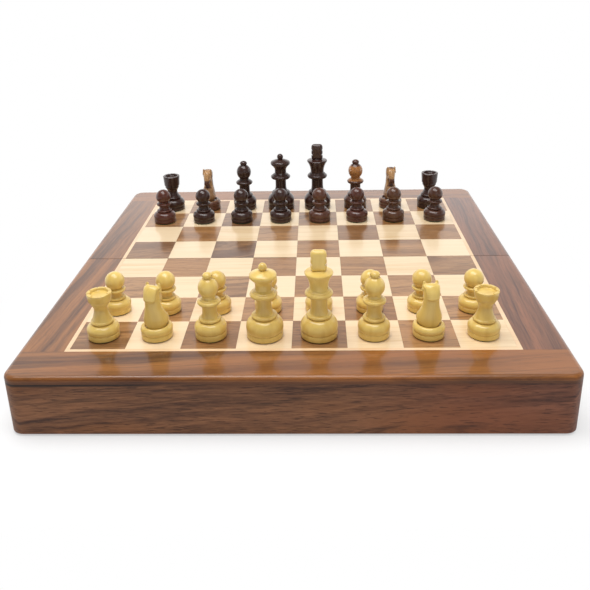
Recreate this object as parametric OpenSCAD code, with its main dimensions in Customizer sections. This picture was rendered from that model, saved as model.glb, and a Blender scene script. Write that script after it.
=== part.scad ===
// Folding chess box, opened flat as a board, with its thirty-two turned pieces.
// +X runs across the board, +Y away from the white side, +Z up.
// The origin is under the middle of the fold, at the lowest point of the hinges.
// The near half is modelled, and the far half is its mirror image over the fold.

/* [Board] */
// Side of one square
square = 31; // [30:0.5:36]
// Width of the pale strip round the squares
inlay_w = 2.5; // [1.5:0.5:4]
// Width of the border planks
border_w = 26; // [24:1:36]
// Height of each half, from its rim to its playing face
case_h = 35; // [34:0.5:46]
// Thickness of the squares, the strip and the border planks
top_t = 4; // [3:0.5:4.5]
// Rounding of the upright corners
corner_r = 8; // [6:0.5:9.5]
// Rounding of the top outer edge
edge_r = 2.5; // [1:0.5:2.5]

/* [Case] */
// Thickness of the case walls
wall_t = 10; // [10:0.5:12]
// Thickness of the panel under the squares
deck_t = 3; // [2:0.5:3.5]
// Gap between the two halves at the fold
seam = 0.5; // [0.3:0.1:0.8]
// Gap between the two rims when the box is shut
shut_gap = 0.2; // [0.1:0.05:0.4]
// Hairline joint between glued pieces of wood
joint_gap = 0.05; // [0.03:0.01:0.1]

/* [Storage] */
// Thickness of the felt on the floor of each half
felt_t = 1.5; // [1:0.5:2]
// Height of the long dividers
rail_h = 21; // [20:0.5:22.5]
// Height of the short dividers between the nests
rib_h = 12; // [8:1:16]
// Width of one nest
nest_w = 24; // [22:0.5:27]
// Length of a nest for the tall pieces
tall_nest_l = 58; // [56:1:60]
// Length of a nest for a pawn
pawn_nest_l = 32; // [28:1:34]

/* [Hinges and magnets] */
// Distance from the middle of the box to each hinge
hinge_x = 92; // [60:1:105]
// Length of a hinge
hinge_l = 30; // [24:1:40]
// Width of one leaf, from the seam
leaf_w = 8.5; // [7.5:0.5:9]
// Thickness of a leaf
leaf_t = 1; // [0.8:0.1:1.1]
// Radius of the knuckles
knuckle_r = 1.25; // [1.2:0.05:1.5]
// Radius of the hinge pin
pin_r = 0.6; // [0.4:0.05:0.7]
// Running clearance round the pin
pin_clear = 0.05; // [0.02:0.01:0.08]
// Length of a hinge screw
screw_l = 7; // [5:0.5:9]
// Radius of a hinge screw
screw_r = 0.9; // [0.7:0.1:1.1]
// Radius of a screw head
screw_head_r = 1.8; // [1.5:0.1:2]
// Distance from the middle of the box to each closing magnet
magnet_x = 60; // [30:1:110]
// Radius of a closing magnet
magnet_r = 3.5; // [2.5:0.5:4]
// Thickness of a closing magnet
magnet_t = 3; // [2:0.5:4]

/* [Chess pieces] */
// Height of the king
king_h = 53; // [45:0.5:54.5]
// Height of the queen
queen_h = 45.5; // [40:0.5:50]
// Height of the bishop
bishop_h = 40; // [34:0.5:44]
// Height of the knight
knight_h = 34.5; // [30:0.5:40]
// Height of the rook
rook_h = 28.4; // [25:0.5:33]
// Height of the pawn
pawn_h = 26.2; // [22:0.5:30]
// Base radius of the king and queen
royal_r = 10.7; // [9:0.1:11]
// Base radius of the bishop
bishop_r = 9.2; // [8:0.1:10.5]
// Base radius of the knight
knight_r = 9; // [8:0.1:10.5]
// Base radius of the rook
rook_r = 9.2; // [8:0.1:10.5]
// Base radius of the pawn
pawn_r = 8.4; // [7:0.1:9.5]
// Turn of a knight away from the middle of its file
knight_turn = 8; // [0:1:45]
// Size of the far side's pieces against the near side's
far_size = 1.05; // [1:0.01:1.06]
// Distance of the near pieces in front of the middle of their squares
near_off = 1.3; // [0:0.1:4]
// Distance of the far pieces in front of the middle of their squares
far_off = 3; // [0:0.1:4]
// Thickness of the felt under each piece
pad_t = 0.6; // [0.4:0.1:1]

/* [Hidden] */
$fn = 48;
files = 8;
half_ranks = files / 2;
file_names = ["a", "b", "c", "d", "e", "f", "g", "h"];

half_nodes = ["outer_wall", "side_walls", "hinge_wall", "deck", "planks", "inlay",
              "dark_squares", "light_squares", "felt", "dividers", "magnets"];
hinge_nodes = ["hinge_base_leaves", "hinge_lid_leaves", "hinge_pins",
               "hinge_base_screws", "hinge_lid_screws"];
piece_nodes = ["rook_a", "knight_b", "bishop_c", "queen", "king", "bishop_f", "knight_g", "rook_h"];

wood_wall = [0.40, 0.25, 0.20];
wood_plank = [0.47, 0.31, 0.25];
wood_dark = [0.50, 0.34, 0.28];
wood_light = [0.93, 0.85, 0.72];
wood_inlay = [0.91, 0.77, 0.63];
wood_ply = [0.76, 0.62, 0.45];
felt_green = [0.10, 0.30, 0.20];
boxwood = [0.82, 0.75, 0.47];
rosewood = [0.29, 0.13, 0.10];
brass = [0.78, 0.62, 0.30];
steel = [0.72, 0.72, 0.74];

// Levels
axis_z = knuckle_r;
rim_z = axis_z + shut_gap / 2;
top_z = rim_z + case_h;
deck_z = top_z - top_t;
felt_z = deck_z - deck_t - felt_t;

// Plan of the near half
field_w = files * square;
board_w = field_w + 2 * (inlay_w + border_w);
half_l = half_ranks * square + inlay_w + border_w;
fold_y = seam / 2;
outer_y = -fold_y - half_l;
inner_w = board_w - 2 * wall_t;
inner_l = half_l - 2 * wall_t;
corner = min(corner_r, wall_t - 0.5);
magnet_y = outer_y + wall_t / 2;
rail_w = (inner_l - tall_nest_l - pawn_nest_l) / 3;
rib_w = (inner_w - files * nest_w) / (files + 1);

// Hinges
knuckles = 5;
knuckle_l = hinge_l / knuckles;
knuckle_gap = 0.15;
swing_gap = 0.2;
fit_gap = 0.02;
plate_y = knuckle_r + swing_gap;
screw_y = fold_y + leaf_w * 0.6;
screw_pitch = hinge_l / 3;
screw_head_h = leaf_t * 0.8;
slot_w = 0.4;

// ---- Helpers ---------------------------------------------------------------

// Draws a shape of the near half as the far half's
module far() mirror([0, 1, 0]) children();

// A box between two corners
module block(low, high) translate(low) cube(high - low);

// A quarter of a disc
module quarter(r) intersection() {
    circle(r);
    square(r);
}

// A tile between two corners of the plan, smaller by the hairline joint round it
module tile(x0, y0, x1, y1) {
    g = joint_gap / 2;
    block([x0 + g, y0 + g, deck_z], [x1 - g, y1 - g, top_z]);
}

// Middle of a square, from file a and from rank 1
function file_x(i) = (i - (files - 1) / 2) * square;
function rank_y(j) = (j - (files - 1) / 2) * square + (j < half_ranks ? -fold_y : fold_y);

// ---- Case ------------------------------------------------------------------

module outer_wall() {
    flat_x = board_w / 2 - corner;
    difference() {
        translate([0, outer_y, rim_z]) linear_extrude(deck_z - rim_z) {
            translate([-flat_x, 0]) square([2 * flat_x, wall_t]);
            translate([-board_w / 2, corner]) square([board_w, wall_t - corner]);
            translate([flat_x, corner]) rotate(-90) quarter(corner);
            translate([-flat_x, corner]) rotate(180) quarter(corner);
        }
        for (side = [-1, 1]) translate([side * magnet_x, magnet_y, rim_z - 1])
            cylinder(r = magnet_r + fit_gap, h = magnet_t + fit_gap + 1);
    }
}

module side_walls() {
    for (side = [0, 1]) mirror([side, 0, 0])
        block([inner_w / 2, outer_y + wall_t, rim_z], [board_w / 2, -fold_y, deck_z]);
}

module hinge_wall() {
    difference() {
        block([-inner_w / 2, -fold_y - wall_t, rim_z], [inner_w / 2, -fold_y, deck_z]);
        for (side = [-1, 1]) translate([side * hinge_x, 0, 0]) {
            block([-hinge_l / 2, -fold_y - leaf_w, rim_z - 1], [hinge_l / 2, 1, rim_z + leaf_t]);
            barrel(-swing_gap, hinge_l + 2 * swing_gap, knuckle_r + swing_gap);
            for (k = [-1:1]) translate([k * screw_pitch, 0, 0]) screw(fit_gap);
        }
    }
}

module deck() {
    block([-inner_w / 2, outer_y + wall_t, deck_z - deck_t],
          [inner_w / 2, -fold_y - wall_t, deck_z]);
}

// ---- Top: planks, strip and squares ----------------------------------------

// Section of a plank, from its inner edge at x = 0 to its rounded outer edge
module plank_section(w) {
    square([w - edge_r, top_t]);
    square([w, top_t - edge_r]);
    translate([w - edge_r, top_t - edge_r]) quarter(edge_r);
}

// A straight run along the right edge of the board, from y0 towards -Y
module side_run(w, y0, length) {
    translate([board_w / 2 - w, y0, deck_z]) rotate([90, 0, 0])
        linear_extrude(length) plank_section(w);
}

module planks() {
    flat_x = board_w / 2 - corner;
    translate([-flat_x, outer_y + border_w, deck_z]) mirror([0, 1, 0]) rotate([90, 0, 90])
        linear_extrude(2 * flat_x) plank_section(border_w);
    for (side = [0, 1]) mirror([side, 0, 0]) {
        side_run(corner, outer_y + border_w, border_w - corner);
        translate([flat_x, outer_y + corner, deck_z]) rotate([0, 0, -90])
            rotate_extrude(angle = 90) plank_section(corner);
        side_run(border_w, -fold_y, half_l - border_w - joint_gap);
    }
}

module inlay() {
    x1 = field_w / 2;
    x2 = x1 + inlay_w;
    y1 = outer_y + border_w + joint_gap;
    y2 = y1 + inlay_w - joint_gap;
    tile(-x2, y1, x2, y2);
    for (side = [0, 1]) mirror([side, 0, 0]) tile(x1, y2, x2, -fold_y);
}

// Every second square of the near half. phase 0 takes the near left one.
module squares(phase) {
    for (i = [0:files - 1], j = [0:half_ranks - 1]) if ((i + j) % 2 == phase) {
        x = file_x(i);
        y = rank_y(j);
        tile(x - square / 2, y - square / 2, x + square / 2, y + square / 2);
    }
}

// ---- Storage ---------------------------------------------------------------

module felt() {
    block([-inner_w / 2, outer_y + wall_t, felt_z],
          [inner_w / 2, -fold_y - wall_t, felt_z + felt_t]);
}

// Ribs across one row of nests, which starts at y0
module ribs(y0, nest_l) {
    for (k = [0:files]) translate([k * (nest_w + rib_w) - inner_w / 2, y0 + joint_gap / 2, 0])
        block([0, 0, felt_z - rib_h], [rib_w, nest_l - joint_gap, felt_z]);
}

module dividers() {
    y1 = outer_y + wall_t;
    y2 = y1 + rail_w + tall_nest_l;
    y3 = y2 + rail_w + pawn_nest_l;
    for (y = [y1, y2, y3])
        block([-inner_w / 2, y, felt_z - rail_h], [inner_w / 2, y + rail_w, felt_z]);
    ribs(y1 + rail_w, tall_nest_l);
    ribs(y2 + rail_w, pawn_nest_l);
}

module magnets() {
    for (side = [-1, 1]) translate([side * magnet_x, magnet_y, rim_z])
        cylinder(r = magnet_r, h = magnet_t);
}

// ---- Hinges ----------------------------------------------------------------

// A round bar on the fold's axis, from start, measured from the hinge's left end
module barrel(start, length, r) {
    translate([start - hinge_l / 2, 0, axis_z]) rotate([0, 90, 0]) cylinder(r = r, h = length);
}

// A countersunk screw of the near leaf, grown by gap to make its hole
module screw(gap) {
    translate([0, -screw_y, rim_z]) {
        cylinder(r1 = screw_head_r + gap, r2 = screw_r + gap, h = screw_head_h);
        cylinder(r = screw_r + gap, h = screw_l + gap);
    }
}

// The near leaf of a hinge, with the knuckles that are listed in own
module leaf(own, hole_r) {
    difference() {
        union() {
            block([-hinge_l / 2, -fold_y - leaf_w, rim_z], [hinge_l / 2, -plate_y, rim_z + leaf_t]);
            for (k = own) {
                start = k * knuckle_l + knuckle_gap / 2;
                translate([start - hinge_l / 2, 0, 0])
                    block([0, -plate_y, rim_z], [knuckle_l - knuckle_gap, 0, rim_z + leaf_t]);
                barrel(start, knuckle_l - knuckle_gap, knuckle_r);
            }
        }
        barrel(-1, hinge_l + 2, hole_r);
        for (k = [-1:1]) translate([k * screw_pitch, 0, 0]) screw(fit_gap);
    }
}

module leaves(own, hole_r) {
    for (side = [-1, 1]) translate([side * hinge_x, 0, 0]) leaf(own, hole_r);
}

module screws() {
    for (side = [-1, 1], k = [-1:1])
        translate([side * hinge_x + k * screw_pitch, 0, 0]) difference() {
            screw(0);
            block([-screw_head_r - 1, -screw_y - slot_w / 2, rim_z - 1],
                  [screw_head_r + 1, -screw_y + slot_w / 2, rim_z + slot_w]);
        }
}

module pins() {
    for (side = [-1, 1]) translate([side * hinge_x, 0, 0]) barrel(0, hinge_l, pin_r);
}

// ---- Chess pieces ----------------------------------------------------------
// An outline is a list of [radius, height], from the foot up.

// Part of an oval round the point c
function oval(c, rx, rz, from, to, n = 6) = [
    for (k = [0:n]) let (a = from + (to - from) * k / n) c + [rx * cos(a), rz * sin(a)]
];
// Curves between two points that are steep at the end and at the start
function fall(p, q, bow, n = 5) = [
    for (k = [0:n]) let (t = k / n) [q[0] + (p[0] - q[0]) * pow(1 - t, bow), p[1] + (q[1] - p[1]) * t]
];
function rise(p, q, bow, n = 5) = [
    for (k = [0:n]) let (t = k / n) [p[0] + (q[0] - p[0]) * pow(t, bow), p[1] + (q[1] - p[1]) * t]
];
// Drops the points that repeat
function thin(points) = [
    for (i = [0:len(points) - 1])
        if (i == 0 || norm(points[i] - points[max(i - 1, 0)]) > 0.02) points[i]
];

// Foot of a piece: a disc up to d, a bulge of radius r up to b and a ring of radius s on it
function foot(r, s, d, m, b, bead) = concat(
    [[0, wood_z], [r * 0.95, wood_z], [r * 0.98, wood_z + 0.4], [r * 0.98, d - 0.4], [r * 0.95, d]],
    oval([r * 0.94, m], r * 0.06, m - d, -62, 0, 3),
    oval([s - bead, m], r - s + bead, b - m, 12, 90, 7),
    oval([s - bead, b + bead], bead, bead, -80, 90, 6)
);
// Collar on a stem of radius s: it flares to a rim of radius w and half thickness t at height z
function collar(s, w, z, t) = concat(
    rise([s, z - 2.2 * t], [w - t / 2, z - t], 1.3, 4),
    oval([w - t, z], t, t, -60, 90, 5)
);

module turned(points) rotate_extrude() polygon(thin(points));

// Felt under a piece, which the wood starts just above
wood_z = pad_t + fit_gap;
module pad(r) cylinder(r = r * 0.9, h = pad_t);

module king() {
    h = king_h;
    r = royal_r;
    pad(r);
    turned(concat(
        foot(r, r * 0.68, 4, h * 0.12, h * 0.235, 1.1),
        fall([r * 0.49, h * 0.282], [r * 0.43, h * 0.38], 2),
        collar(r * 0.43, r * 0.74, h * 0.512, 1.3),
        [[r * 0.60, h * 0.545], [r * 0.57, h * 0.556], [r * 0.50, h * 0.561]],
        rise([r * 0.49, h * 0.575], [r * 0.735, h * 0.735], 2.2),
        [[r * 0.745, h * 0.748], [r * 0.71, h * 0.758]],
        fall([r * 0.66, h * 0.760], [r * 0.30, h * 0.772], 2, 3),
        [[0, h * 0.772]]
    ));
    king_cross();
}

// Slab on the king's crown, rounded at the top and nicked twice at each side
module king_cross() {
    w = royal_r * 0.84;
    t = royal_r * 0.5;
    low = king_h * 0.757;
    high = king_h - low;
    round_r = w * 0.24;
    nick_r = w * 0.08;
    translate([0, t / 2, low]) rotate([90, 0, 0]) linear_extrude(t) difference() {
        union() {
            translate([-w * 0.44, 0]) square([w * 0.88, high / 2]);
            translate([-w / 2, high * 0.42]) square([w, high * 0.58 - round_r]);
            translate([round_r - w / 2, high / 2]) square([w - 2 * round_r, high / 2]);
            for (side = [-1, 1])
                translate([side * (w / 2 - round_r), high - round_r]) circle(round_r);
        }
        for (side = [-1, 1], place = [[0.44, 0.36], [0.5, 0.64]])
            translate([side * w * place[0], high * place[1]]) circle(nick_r);
    }
}

module queen() {
    h = queen_h;
    r = royal_r;
    pad(r);
    turned(concat(
        foot(r, r * 0.69, 4, h * 0.142, h * 0.27, 1.1),
        fall([r * 0.49, h * 0.324], [r * 0.40, h * 0.43], 2),
        collar(r * 0.40, r * 0.73, h * 0.588, 1.25),
        [[r * 0.58, h * 0.622], [r * 0.56, h * 0.634], [r * 0.48, h * 0.640]],
        rise([r * 0.43, h * 0.655], [r * 0.435, h * 0.73], 1, 2),
        rise([r * 0.45, h * 0.74], [r * 0.70, h * 0.812], 1.2, 4),
        [[r * 0.72, h * 0.824], [r * 0.72, h * 0.845], [r * 0.69, h * 0.860]],
        fall([r * 0.64, h * 0.868], [r * 0.20, h * 0.905], 0.8, 3),
        oval([0, h - r * 0.23], r * 0.23, r * 0.23, -50, 84, 7),
        [[0, h]]
    ));
}

module bishop() {
    h = bishop_h;
    r = bishop_r;
    slit_w = 0.7;
    slit_lean = 38;
    pad(r);
    difference() {
        turned(concat(
            foot(r, r * 0.70, 4, h * 0.155, h * 0.26, 1),
            fall([r * 0.52, h * 0.315], [r * 0.45, h * 0.41], 2),
            collar(r * 0.45, r * 0.72, h * 0.555, 1.15),
            [[r * 0.56, h * 0.588], [r * 0.53, h * 0.60], [r * 0.43, h * 0.607]],
            oval([0, h * 0.77], r * 0.62, h * 0.157, -48, 60, 9),
            [[r * 0.24, h * 0.911]],
            oval([0, h * 0.95], r * 0.31, h * 0.05, -40, 84, 6),
            [[0, h]]
        ));
        translate([0, r * 0.40, h * 0.81]) rotate([slit_lean, 0, 0])
            block([-r, -slit_w / 2, -h * 0.02], [r, slit_w / 2, h * 0.2]);
    }
}

// The shares of a rook's height at which its crown starts
near_crown = 0.83;
far_crown = 0.73;
module rook(crown) {
    h = rook_h;
    r = rook_r;
    nicks = 4;
    nick_w = 0.9;
    pad(r);
    difference() {
        turned(concat(
            foot(r, r * 0.70, 3.6, h * 0.20, h * 0.325, 1),
            fall([r * 0.62, h * 0.40], [r * 0.45, h * (crown - 0.20)], 1.5),
            rise([r * 0.45, h * (crown - 0.18)], [r * 0.57, h * (crown - 0.075)], 1.6),
            [[r * 0.59, h * (crown - 0.06)], [r * 0.59, h * (crown - 0.012)]],
            [[r * 0.69, h * crown], [r * 0.78, h * 0.985]],
            [[r * 0.75, h], [r * 0.59, h], [r * 0.55, h * 0.95], [0, h * 0.94]]
        ));
        for (k = [0:nicks - 1]) rotate([0, 0, (k + 0.5) * 180 / nicks])
            block([-r, -nick_w / 2, h * 0.965], [r, nick_w / 2, h + 1]);
    }
}

module pawn() {
    h = pawn_h;
    r = pawn_r;
    pad(r);
    turned(concat(
        foot(r, r * 0.66, 3.4, h * 0.205, h * 0.33, 0.8),
        fall([r * 0.50, h * 0.395], [r * 0.43, h * 0.47], 1.5),
        collar(r * 0.43, r * 0.70, h * 0.565, 0.85),
        [[r * 0.52, h * 0.60], [r * 0.47, h * 0.608]],
        oval([0, h - r * 0.69], r * 0.69, r * 0.69, -46, 86, 12),
        [[0, h]]
    ));
}

// The knight faces the far side. Its head is the solid that its side view and
// its front view share, and its foot is turned.
module knight() {
    h = knight_h;
    r = knight_r;
    neck_z = h * 0.20;
    foot_d = 3.6;
    side_view = [
        [-0.56, 0.20], [-0.74, 0.29], [-0.76, 0.37], [-0.70, 0.50], [-0.64, 0.62], [-0.70, 0.66],
        [-0.72, 0.75], [-0.65, 0.84], [-0.48, 0.92], [-0.24, 0.97], [-0.04, 1.00], [0.10, 0.985],
        [0.22, 0.90], [0.40, 0.80], [0.58, 0.68], [0.62, 0.61], [0.54, 0.56], [0.40, 0.565],
        [0.26, 0.62], [0.18, 0.60], [0.22, 0.52], [0.42, 0.45], [0.68, 0.39], [0.84, 0.31],
        [0.66, 0.20]
    ];
    front_view = [
        [0.58, 0.20], [0.76, 0.30], [0.74, 0.37], [0.60, 0.48], [0.50, 0.60], [0.48, 0.72],
        [0.48, 0.90], [0.45, 1.00], [0.33, 1.00], [0.22, 0.96]
    ];
    both_sides = concat(front_view, [for (i = [len(front_view) - 1:-1:0])
        [-front_view[i][0], front_view[i][1]]]);
    pad(r);
    turned(concat(
        [[0, wood_z], [r * 0.95, wood_z], [r * 0.98, wood_z + 0.4]],
        [[r * 0.98, foot_d - 0.4], [r * 0.94, foot_d]],
        oval([r * 0.92, h * 0.155], r * 0.08, h * 0.045, -70, 0, 4),
        oval([r * 0.76, h * 0.155], r * 0.24, h * 0.078, 8, 90, 6),
        [[r * 0.72, h * 0.228], [r * 0.69, h * 0.215], [r * 0.68, neck_z], [0, neck_z]]
    ));
    intersection() {
        translate([-r, 0, 0]) rotate([90, 0, 90])
            linear_extrude(2 * r) polygon([for (p = side_view) [p[0] * r, p[1] * h]]);
        translate([0, r, 0]) rotate([90, 0, 0])
            linear_extrude(2 * r) polygon([for (p = both_sides) [p[0] * r, p[1] * h]]);
    }
}

// Distances to the right at which the far pieces stand off the middles of their files
far_aside = [[0, 0, 0, 0, 0, 1.2, 0, 1.5], [-1.3, 0, 0, 0.9, 1.6, 0.9, -0.6, 1.6]];

// Stands a piece at place of its square, from the square's middle
module stand(i, rank, place) translate([file_x(i), rank_y(rank), top_z]) translate(place) children();
module white(i, rank) color(boxwood) stand(i, rank, [0, -near_off, 0]) children();
module black(i, rank) color(rosewood) far() stand(i, rank, [far_aside[rank][i], far_off, 0])
    scale(far_size) children();

// ---- Nodes -----------------------------------------------------------------

module base_outer_wall() color(wood_wall) outer_wall();
module base_side_walls() color(wood_wall) side_walls();
module base_hinge_wall() color(wood_wall) hinge_wall();
module base_deck() color(wood_ply) deck();
module base_planks() color(wood_plank) planks();
module base_inlay() color(wood_inlay) inlay();
module base_dark_squares() color(wood_dark) squares(0);
module base_light_squares() color(wood_light) squares(1);
module base_felt() color(felt_green) felt();
module base_dividers() color(felt_green) dividers();
module base_magnets() color(steel) magnets();

module lid_outer_wall() color(wood_wall) far() outer_wall();
module lid_side_walls() color(wood_wall) far() side_walls();
module lid_hinge_wall() color(wood_wall) far() hinge_wall();
module lid_deck() color(wood_ply) far() deck();
module lid_planks() color(wood_plank) far() planks();
module lid_inlay() color(wood_inlay) far() inlay();
module lid_dark_squares() color(wood_dark) far() squares(1);
module lid_light_squares() color(wood_light) far() squares(0);
module lid_felt() color(felt_green) far() felt();
module lid_dividers() color(felt_green) far() dividers();
module lid_magnets() color(steel) far() magnets();

module hinge_base_leaves() color(brass) leaves([0:2:knuckles - 1], pin_r + fit_gap);
module hinge_lid_leaves() color(brass) far() leaves([1:2:knuckles - 1], pin_r + pin_clear);
module hinge_pins() color(brass) pins();
module hinge_base_screws() color(brass) screws();
module hinge_lid_screws() color(brass) far() screws();

base_outer_wall();
base_side_walls();
base_hinge_wall();
base_deck();
base_planks();
base_inlay();
base_dark_squares();
base_light_squares();
base_felt();
base_dividers();
base_magnets();
lid_outer_wall();
lid_side_walls();
lid_hinge_wall();
lid_deck();
lid_planks();
lid_inlay();
lid_dark_squares();
lid_light_squares();
lid_felt();
lid_dividers();
lid_magnets();
hinge_base_leaves();
hinge_lid_leaves();
hinge_pins();
hinge_base_screws();
hinge_lid_screws();
white(0, 0) rook(near_crown);  // white_rook_a
white(1, 0) rotate([0, 0, -knight_turn]) knight();  // white_knight_b
white(2, 0) bishop();  // white_bishop_c
white(3, 0) queen();  // white_queen
white(4, 0) king();  // white_king
white(5, 0) bishop();  // white_bishop_f
white(6, 0) rotate([0, 0, knight_turn]) knight();  // white_knight_g
white(7, 0) rook(near_crown);  // white_rook_h
black(0, 0) rook(far_crown);  // black_rook_a
black(1, 0) rotate([0, 0, knight_turn]) knight();  // black_knight_b
black(2, 0) bishop();  // black_bishop_c
black(3, 0) queen();  // black_queen
black(4, 0) king();  // black_king
black(5, 0) bishop();  // black_bishop_f
black(6, 0) rotate([0, 0, -knight_turn]) knight();  // black_knight_g
black(7, 0) rook(far_crown);  // black_rook_h
for (i = [0:files - 1]) {
    white(i, 1) pawn();
    black(i, 1) pawn();
}
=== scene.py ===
"""Looks of a folding chess box: lacquered rosewood and maple, turned pieces, felt trays and brass hinges."""
import math

import bpy
from bpy.props import FloatProperty, FloatVectorProperty, PointerProperty
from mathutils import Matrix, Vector


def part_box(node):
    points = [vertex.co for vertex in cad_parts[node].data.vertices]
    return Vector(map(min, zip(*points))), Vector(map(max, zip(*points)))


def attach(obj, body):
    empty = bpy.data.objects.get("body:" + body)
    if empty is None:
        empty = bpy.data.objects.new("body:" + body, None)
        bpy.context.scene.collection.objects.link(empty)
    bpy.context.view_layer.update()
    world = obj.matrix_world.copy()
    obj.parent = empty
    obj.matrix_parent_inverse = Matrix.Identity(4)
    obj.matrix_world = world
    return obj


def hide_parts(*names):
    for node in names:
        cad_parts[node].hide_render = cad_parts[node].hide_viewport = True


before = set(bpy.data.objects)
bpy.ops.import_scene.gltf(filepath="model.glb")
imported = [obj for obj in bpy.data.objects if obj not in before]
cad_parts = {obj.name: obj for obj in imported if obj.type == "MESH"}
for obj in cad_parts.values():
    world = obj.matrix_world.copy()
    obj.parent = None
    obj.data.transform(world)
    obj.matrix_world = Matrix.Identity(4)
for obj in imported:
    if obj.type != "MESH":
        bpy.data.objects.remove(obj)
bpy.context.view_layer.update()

bl_info = {
    "name": "Folding chess box",
    "version": (1, 0, 0),
    "blender": (4, 5, 0),
    "location": "View3D > Sidebar > Chess box",
    "description": "Dresses a folding chess box and turns its pieces",
    "category": "Object",
}

MM = 0.001
FILES = 8
HALVES = ("base", "lid")
OFFICERS = {
    "rook_a": "rook", "knight_b": "knight", "bishop_c": "bishop", "queen": "queen",
    "king": "king", "bishop_f": "bishop", "knight_g": "knight", "rook_h": "rook",
}
PAWNS = {f"pawn_{letter}": "pawn" for letter in "abcdefgh"}
MEN = {**OFFICERS, **PAWNS}
# Degrees that a knight is turned about the vertical
TURNS = {"white_knight_b": -16, "white_knight_g": 10, "black_knight_b": -6, "black_knight_g": 8}
# Wood of some black men against the wood of the set
SHADES = {
    "black_pawn_a": (2.2, 1.6, 1.3), "black_pawn_e": (2.5, 2.5, 2.2), "black_pawn_f": (2.1, 1.8, 1.7),
    "black_pawn_g": (2.3, 2.4, 1.7), "black_pawn_h": (1.8, 1.8, 1.5),
}

# Width of a knight's head against the first carving
HEAD_WIDTHS = {"knight": 1.06, "black_knight": 0.82}
# Thickness of the felt under a piece
PAD_H = 0.62 * MM
SLIT_W = 0.7 * MM
NICK_W = 0.6 * MM
NICKS = 4

# ---- Sizes taken from the CAD parts -----------------------------------------

PLANKS_LOW, PLANKS_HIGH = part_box("base_planks")
FIELD_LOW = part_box("base_dark_squares")[0]
INLAY_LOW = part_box("base_inlay")[0]
TOP_Z = PLANKS_HIGH.z
BOARD_W = PLANKS_HIGH.x - PLANKS_LOW.x
OUTER_Y = -PLANKS_LOW.y
FOLD_Y = -PLANKS_HIGH.y
FIELD_Y = -FIELD_LOW.y
SQUARE = (FIELD_Y - FOLD_Y) / (FILES / 2)
BORDER_W = OUTER_Y + INLAY_LOW.y


# ---- Settings ---------------------------------------------------------------

def colour(name, description, value):
    return FloatVectorProperty(
        name=name, description=description, subtype="COLOR", size=3, min=0, max=1, default=value)


class ChessBoxWoods(bpy.types.PropertyGroup):
    """Colours of the woods, the felt and the metal"""

    plank_dark: colour("Plank, dark", "Darkest grain of the border planks", (0.094, 0.032, 0.009))
    plank_light: colour("Plank, light", "Palest grain of the border planks", (0.330, 0.128, 0.033))
    wall_dark: colour("Wall, dark", "Darkest grain of the case walls", (0.050, 0.018, 0.009))
    wall_light: colour("Wall, light", "Palest grain of the case walls", (0.250, 0.104, 0.044))
    square_dark: colour("Dark square, dark", "Darkest grain of a dark square", (0.125, 0.056, 0.024))
    square_light: colour("Dark square, light", "Palest grain of a dark square", (0.440, 0.233, 0.098))
    maple: colour("Light square", "Wood of the light squares", (0.850, 0.650, 0.410))
    strip: colour("Inlay strip", "Wood of the strip round the squares", (0.860, 0.600, 0.360))
    boxwood: colour("White pieces", "Wood of the white pieces", (0.760, 0.535, 0.145))
    rosewood: colour("Black pieces", "Wood of the black pieces", (0.040, 0.015, 0.010))
    knight_sap: colour("Knight, sapwood", "Sapwood of the black knights", (0.50, 0.28, 0.12))
    knight_heart: colour("Knight, heartwood", "Heartwood of the black knights", (0.110, 0.042, 0.024))
    bishop_sap: colour("Bishop, sapwood", "Sapwood of one black bishop", (0.40, 0.17, 0.048))
    bishop_heart: colour("Bishop, heartwood", "Heartwood of that bishop", (0.085, 0.032, 0.018))
    ply: colour("Panel", "Wood of the panel under the squares", (0.560, 0.400, 0.240))
    felt: colour("Felt", "Felt of the trays and under the pieces", (0.012, 0.070, 0.034))
    brass: colour("Brass", "Metal of the hinges", (0.780, 0.560, 0.240))
    magnet: colour("Magnet", "Plating of the magnets", (0.620, 0.620, 0.640))


class ChessBoxMen(bpy.types.PropertyGroup):
    """Sizes of the turned pieces' details"""

    steps: FloatProperty(
        name="Steps", description="Flats round a turned piece", default=64, min=24, max=128)
    crease: FloatProperty(
        name="Crease", description="Steeper edges than this stay sharp", subtype="ANGLE",
        default=math.radians(34), min=0, max=math.pi)
    bead: FloatProperty(
        name="Bead", description="Radius of the bead above a piece's foot", unit="LENGTH",
        default=1.1 * MM, min=0.2 * MM, max=2 * MM)
    grain: FloatProperty(
        name="Carving grain", description="Size of the smallest facet of a carved head",
        unit="LENGTH", default=0.33 * MM, min=0.2 * MM, max=1 * MM)


class ChessBoxStage(bpy.types.PropertyGroup):
    """Camera and light"""

    camera_x: FloatProperty(
        name="Camera across", description="Camera to the right of the fold's middle", unit="LENGTH",
        default=14.74 * MM)
    camera_y: FloatProperty(
        name="Camera back", description="Camera in front of the fold", unit="LENGTH",
        default=463.54 * MM)
    camera_z: FloatProperty(
        name="Camera up", description="Camera above the playing face", unit="LENGTH",
        default=205.3 * MM)
    tilt: FloatProperty(
        name="Tilt", description="Camera's turn up from straight down", subtype="ANGLE",
        default=math.radians(69.783))
    lean: FloatProperty(
        name="Lean", description="Camera's lean to one side", subtype="ANGLE",
        default=math.radians(1.176))
    turn: FloatProperty(
        name="Turn", description="Camera's turn about the vertical", subtype="ANGLE",
        default=math.radians(1.450))
    lens: FloatProperty(
        name="Lens", description="Focal length in millimetres on a 36 mm sensor", default=42.953)
    shift: FloatProperty(
        name="Shift", description="Part of the picture's height that the view is shifted up",
        default=-0.1405, min=-0.5, max=0.5)
    above: FloatProperty(
        name="Lamp above", description="Watts of the lamp above the board", default=16.3, min=0)
    front: FloatProperty(
        name="Lamp in front", description="Watts of the lamp in front of the board", default=1.2, min=0)
    sky: FloatProperty(
        name="Wall light", description="Strength of the bright wall round the stage", default=1.0)


# ---- Shader helper ----------------------------------------------------------

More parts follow.
